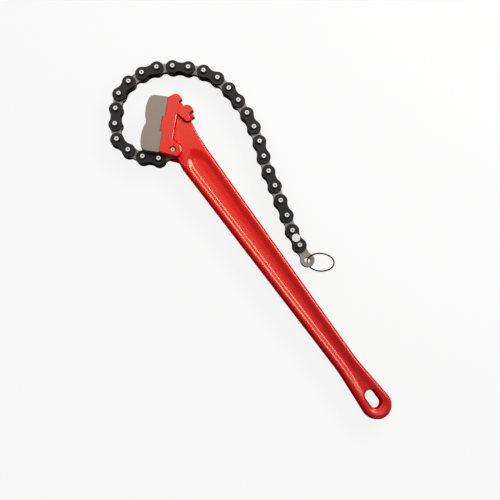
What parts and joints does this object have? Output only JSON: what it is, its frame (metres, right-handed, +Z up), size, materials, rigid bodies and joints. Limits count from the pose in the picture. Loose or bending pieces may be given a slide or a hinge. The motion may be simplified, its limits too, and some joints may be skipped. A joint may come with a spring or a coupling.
{
  "type": "chain wrench",
  "caption": "Chain pipe wrench: a forged lever with a forked, hooked head, a toothed jaw and a leaf chain with a pull ring.",
  "frame": {"origin": "a point on the raised band of the lower cheek face, below the middle of the head, on the handle's centre line", "axes": "+X along the handle from the head to the hanging eye, +Y across it to the hooks' side, +Z up through the thickness"},
  "size_m": [0.5001, 0.1613, 0.029],
  "materials": {
    "red_paint": "gloss paint over a drop forging",
    "jaw_steel": "heat treated bare steel, satin",
    "black_plate": "blackened stamped plate, oiled satin",
    "grey_plate": "bare stamped plate, satin",
    "bright_pin": "bright nickel plated pin ends",
    "ring_wire": "drawn wire, satin",
    "disc_face": "plain bright disc, satin"
  },
  "bodies": {
    "handle": {"handle": "red_paint", "jaw": "jaw_steel", "jaw_pins": "bright_pin", "chain_anchor_pin": "bright_pin"},
    "inner_link_01": {"inner_plates_01": "grey_plate"},
    "outer_link_01": {"outer_plates_01": "black_plate", "link_pins_01": "bright_pin"},
    "inner_link_02": {"inner_plates_02": "grey_plate"},
    "outer_link_02": {"outer_plates_02": "black_plate", "link_pins_02": "bright_pin"},
    "inner_link_03": {"inner_plates_03": "grey_plate"},
    "outer_link_03": {"outer_plates_03": "black_plate", "link_pins_03": "bright_pin"},
    "inner_link_04": {"inner_plates_04": "grey_plate"},
    "outer_link_04": {"outer_plates_04": "black_plate", "link_pins_04": "bright_pin"},
    "inner_link_05": {"inner_plates_05": "grey_plate"},
    "outer_link_05": {"outer_plates_05": "black_plate", "link_pins_05": "bright_pin"},
    "inner_link_06": {"inner_plates_06": "grey_plate"},
    "outer_link_06": {"outer_plates_06": "black_plate", "link_pins_06": "bright_pin"},
    "inner_link_07": {"inner_plates_07": "grey_plate"},
    "outer_link_07": {"outer_plates_07": "black_plate", "link_pins_07": "bright_pin"},
    "inner_link_08": {"inner_plates_08": "grey_plate"},
    "outer_link_08": {"outer_plates_08": "black_plate", "link_pins_08": "bright_pin"},
    "inner_link_09": {"inner_plates_09": "grey_plate"},
    "outer_link_09": {"outer_plates_09": "black_plate", "link_pins_09": "bright_pin"},
    "inner_link_10": {"inner_plates_10": "grey_plate"},
    "outer_link_10": {"outer_plates_10": "black_plate", "link_pins_10": "bright_pin"},
    "inner_link_11": {"inner_plates_11": "grey_plate"},
    "outer_link_11": {"outer_plates_11": "black_plate", "link_pins_11": "bright_pin"},
    "inner_link_12": {"inner_plates_12": "grey_plate"},
    "outer_link_12": {"outer_plates_12": "black_plate", "link_pins_12": "bright_pin"},
    "inner_link_13": {"inner_plates_13": "grey_plate"},
    "outer_link_13": {"outer_plates_13": "black_plate", "link_pins_13": "bright_pin", "marker_disc": "disc_face"},
    "end_link": {"end_link": "grey_plate"},
    "pull_ring": {"pull_ring": "ring_wire"}
  },
  "joints": [
    {"name": "inner_link_01_hinge", "type": "hinge", "parent": "handle", "child": "inner_link_01", "pos_m": [0.0245, -0.01602, 0.0145], "axis": [0, 0, 1], "range_deg": [-2.5, 30]},
    {"name": "outer_link_01_hinge", "type": "hinge", "parent": "inner_link_01", "child": "outer_link_01", "pos_m": [0.02185, -0.03489, 0.0145], "axis": [0, 0, -1], "range_deg": [-55, 2.5]},
    {"name": "inner_link_02_hinge", "type": "hinge", "parent": "outer_link_01", "child": "inner_link_02", "pos_m": [0.00885, -0.04882, 0.0145], "axis": [0, 0, 1], "range_deg": [-2.5, 38]},
    {"name": "outer_link_02_hinge", "type": "hinge", "parent": "inner_link_02", "child": "outer_link_02", "pos_m": [-0.00781, -0.05806, 0.0145], "axis": [0, 0, -1], "range_deg": [-39, 2]},
    {"name": "inner_link_03_hinge", "type": "hinge", "parent": "outer_link_02", "child": "inner_link_03", "pos_m": [-0.02657, -0.06136, 0.0145], "axis": [0, 0, 1], "range_deg": [-2, 58]},
    {"name": "outer_link_03_hinge", "type": "hinge", "parent": "inner_link_03", "child": "outer_link_03", "pos_m": [-0.04339, -0.05242, 0.0145], "axis": [0, 0, -1], "range_deg": [-28, 2]},
    {"name": "inner_link_04_hinge", "type": "hinge", "parent": "outer_link_03", "child": "inner_link_04", "pos_m": [-0.0588, -0.04122, 0.0145], "axis": [0, 0, 1], "range_deg": [-1.5, 30]},
    {"name": "outer_link_04_hinge", "type": "hinge", "parent": "inner_link_04", "child": "outer_link_04", "pos_m": [-0.07203, -0.02752, 0.0145], "axis": [0, 0, -1], "range_deg": [-46, 1.5]},
    {"name": "inner_link_05_hinge", "type": "hinge", "parent": "outer_link_04", "child": "inner_link_05", "pos_m": [-0.07792, -0.0094, 0.0145], "axis": [0, 0, 1], "range_deg": [-1.5, 38]},
    {"name": "outer_link_05_hinge", "type": "hinge", "parent": "inner_link_05", "child": "outer_link_05", "pos_m": [-0.07792, 0.00965, 0.0145], "axis": [0, 0, -1], "range_deg": [-34, 1.5]},
    {"name": "inner_link_06_hinge", "type": "hinge", "parent": "outer_link_05", "child": "inner_link_06", "pos_m": [-0.07331, 0.02813, 0.0145], "axis": [0, 0, 1], "range_deg": [-1.5, 37]},
    {"name": "outer_link_06_hinge", "type": "hinge", "parent": "inner_link_06", "child": "outer_link_06", "pos_m": [-0.0635, 0.04446, 0.0145], "axis": [0, 0, -1], "range_deg": [-29, 1.5]},
    {"name": "inner_link_07_hinge", "type": "hinge", "parent": "outer_link_06", "child": "inner_link_07", "pos_m": [-0.05126, 0.05905, 0.0145], "axis": [0, 0, 1], "range_deg": [-1.5, 29]},
    {"name": "outer_link_07_hinge", "type": "hinge", "parent": "inner_link_07", "child": "outer_link_07", "pos_m": [-0.03688, 0.07155, 0.0145], "axis": [0, 0, -1], "range_deg": [-35, 2]},
    {"name": "inner_link_08_hinge", "type": "hinge", "parent": "outer_link_07", "child": "inner_link_08", "pos_m": [-0.01976, 0.0799, 0.0145], "axis": [0, 0, 1], "range_deg": [-2, 36]},
    {"name": "outer_link_08_hinge", "type": "hinge", "parent": "inner_link_08", "child": "outer_link_08", "pos_m": [-0.001, 0.08321, 0.0145], "axis": [0, 0, -1], "range_deg": [-29, 2.5]},
    {"name": "inner_link_09_hinge", "type": "hinge", "parent": "outer_link_08", "child": "inner_link_09", "pos_m": [0.01805, 0.08354, 0.0145], "axis": [0, 0, 1], "range_deg": [-2.5, 24]},
    {"name": "outer_link_09_hinge", "type": "hinge", "parent": "inner_link_09", "child": "outer_link_09", "pos_m": [0.03708, 0.08255, 0.0145], "axis": [0, 0, -1], "range_deg": [-27, 3]},
    {"name": "inner_link_10_hinge", "type": "hinge", "parent": "outer_link_09", "child": "inner_link_10", "pos_m": [0.05584, 0.07924, 0.0145], "axis": [0, 0, 1], "range_deg": [-3.5, 26]},
    {"name": "outer_link_10_hinge", "type": "hinge", "parent": "inner_link_10", "child": "outer_link_10", "pos_m": [0.07415, 0.07399, 0.0145], "axis": [0, 0, -1], "range_deg": [-25, 4]},
    {"name": "inner_link_11_hinge", "type": "hinge", "parent": "outer_link_10", "child": "inner_link_11", "pos_m": [0.09193, 0.06716, 0.0145], "axis": [0, 0, 1], "range_deg": [-4.5, 20]},
    {"name": "outer_link_11_hinge", "type": "hinge", "parent": "inner_link_11", "child": "outer_link_11", "pos_m": [0.10995, 0.06096, 0.0145], "axis": [0, 0, -1], "range_deg": [-20, 5.5]},
    {"name": "inner_link_12_hinge", "type": "hinge", "parent": "outer_link_11", "child": "inner_link_12", "pos_m": [0.12851, 0.05667, 0.0145], "axis": [0, 0, 1], "range_deg": [-6.5, 23]},
    {"name": "outer_link_12_hinge", "type": "hinge", "parent": "inner_link_12", "child": "outer_link_12", "pos_m": [0.14682, 0.05142, 0.0145], "axis": [0, 0, -1], "range_deg": [-20, 7]},
    {"name": "inner_link_13_hinge", "type": "hinge", "parent": "outer_link_12", "child": "inner_link_13", "pos_m": [0.1653, 0.04681, 0.0145], "axis": [0, 0, 1], "range_deg": [-10, 23]},
    {"name": "outer_link_13_hinge", "type": "hinge", "parent": "inner_link_13", "child": "outer_link_13", "pos_m": [0.18352, 0.04124, 0.0145], "axis": [0, 0, -1], "range_deg": [-20, 16]},
    {"name": "end_link_hinge", "type": "hinge", "parent": "outer_link_13", "child": "end_link", "pos_m": [0.20228, 0.03794, 0.0145], "axis": [0, 0, 1], "range_deg": [-30, 20]},
    {"name": "pull_ring_swing", "type": "hinge", "parent": "end_link", "child": "pull_ring", "pos_m": [0.22119, 0.03562, 0.0145], "axis": [0, 0, 1], "range_deg": [-60, 70]}
  ]
}
